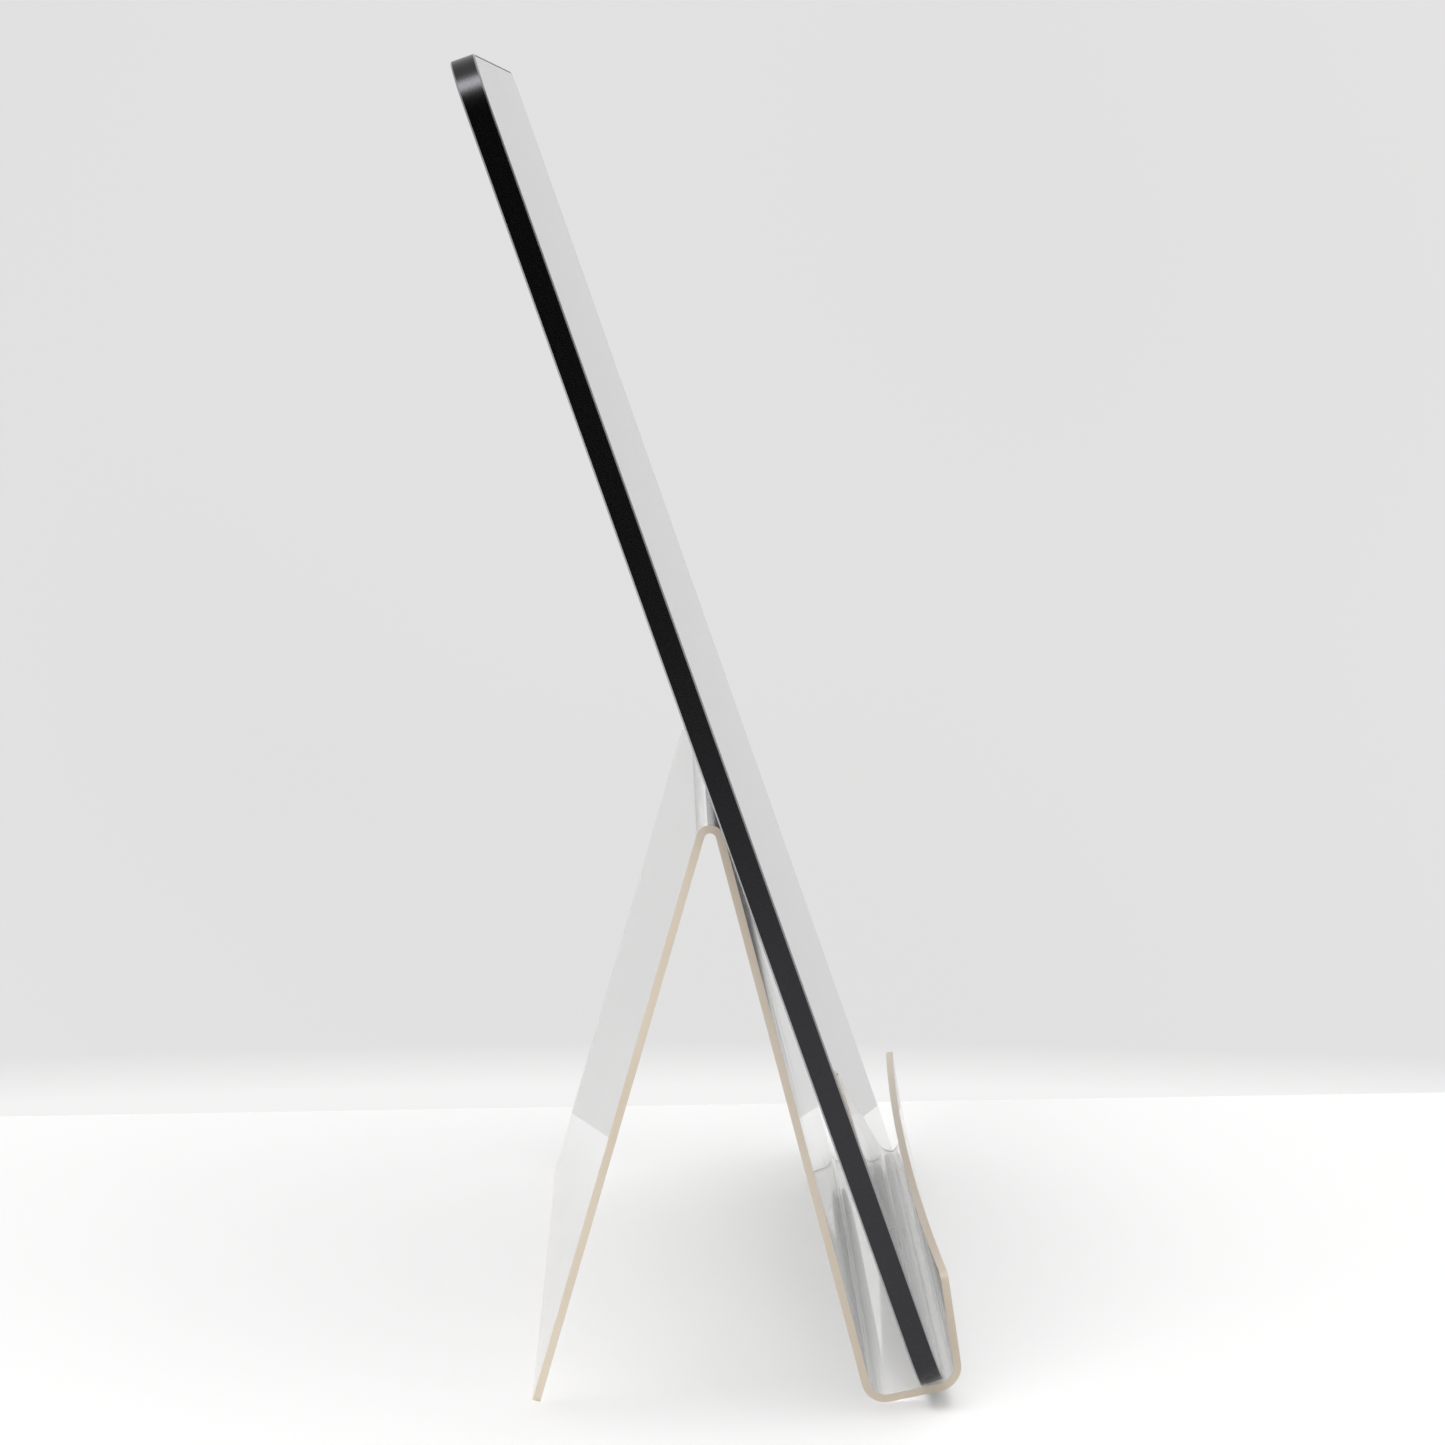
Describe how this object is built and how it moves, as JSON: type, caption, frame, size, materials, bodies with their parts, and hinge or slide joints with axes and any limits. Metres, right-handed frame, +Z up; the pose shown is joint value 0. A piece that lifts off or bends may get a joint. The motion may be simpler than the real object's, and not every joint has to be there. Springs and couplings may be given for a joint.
{
  "type": "digital photo frame",
  "caption": "Slim portrait digital photo frame with a black metal rim, leaning on a clear bent acrylic easel with a front lip.",
  "frame": {"origin": "on the table, in the middle of the object's box", "axes": "+X across the picture to the viewer's right, -Y the way the picture faces, +Z up"},
  "size_m": [0.2426, 0.1248, 0.334],
  "materials": {
    "acrylic": "clear polished acrylic sheet, sawn edges left satin",
    "black_anodised": "satin black anodised",
    "cover_black": "fine matte moulded black",
    "screw_black": "black oxide",
    "clear_glass": "polished clear cover glass",
    "black_adhesive": "matte black adhesive tape",
    "panel": "dark glossy panel, switched off",
    "white_film": "white optical film",
    "guide": "clear light guide",
    "led": "pale yellow light sources on white flex",
    "tray_metal": "plain pressed aluminium",
    "steel": "tin-plated steel",
    "circuit": "green circuit board",
    "flex": "amber flexible circuit",
    "cell_foil": "laminated foil pouch",
    "dark_plastic": "dark moulded plastic"
  },
  "bodies": {
    "easel": {"easel": "acrylic"},
    "display": {"rim_frame": "black_anodised", "rear_cover": "cover_black", "cover_glass": "clear_glass", "glass_adhesive": "black_adhesive", "display_panel": "panel", "optical_sheets": "white_film", "light_guide": "guide", "led_bar": "led", "reflector_sheet": "white_film", "panel_tray": "tray_metal", "panel_driver_board": "circuit", "panel_flex": "flex", "main_board": "circuit", "processor_shield": "steel", "wifi_module": "steel", "side_board": "circuit", "side_flex": "flex", "battery_cell_left": "cell_foil", "battery_cell_right": "cell_foil", "battery_board": "circuit", "battery_lead": "flex", "speaker_left": "dark_plastic", "speaker_right": "dark_plastic", "wifi_antenna": "flex", "usb_c_shell": "steel", "usb_c_tongue": "dark_plastic", "picture_switch": "steel", "power_switch": "steel", "cover_screw_1": "screw_black", "cover_screw_2": "screw_black", "cover_screw_3": "screw_black", "cover_screw_4": "screw_black", "cover_screw_5": "screw_black", "cover_screw_6": "screw_black", "cover_screw_7": "screw_black", "cover_screw_8": "screw_black", "board_screw_1": "steel", "board_screw_2": "steel", "board_screw_3": "steel", "board_screw_4": "steel", "board_screw_5": "steel", "board_screw_6": "steel"},
    "picture_button": {"picture_button": "black_anodised"},
    "power_button": {"power_button": "black_anodised"}
  },
  "joints": [
    {"name": "display_lift", "type": "slide", "parent": "easel", "child": "display", "axis": [0, 0.3305, 0.9438], "range_m": [0, 0.16]},
    {"name": "picture_button_press", "type": "slide", "parent": "display", "child": "picture_button", "axis": [-1, 0, 0], "range_m": [0, 0.0004], "stiffness_N_per_m": 600},
    {"name": "power_button_press", "type": "slide", "parent": "display", "child": "power_button", "axis": [-1, 0, 0], "range_m": [0, 0.0004], "stiffness_N_per_m": 600}
  ]
}
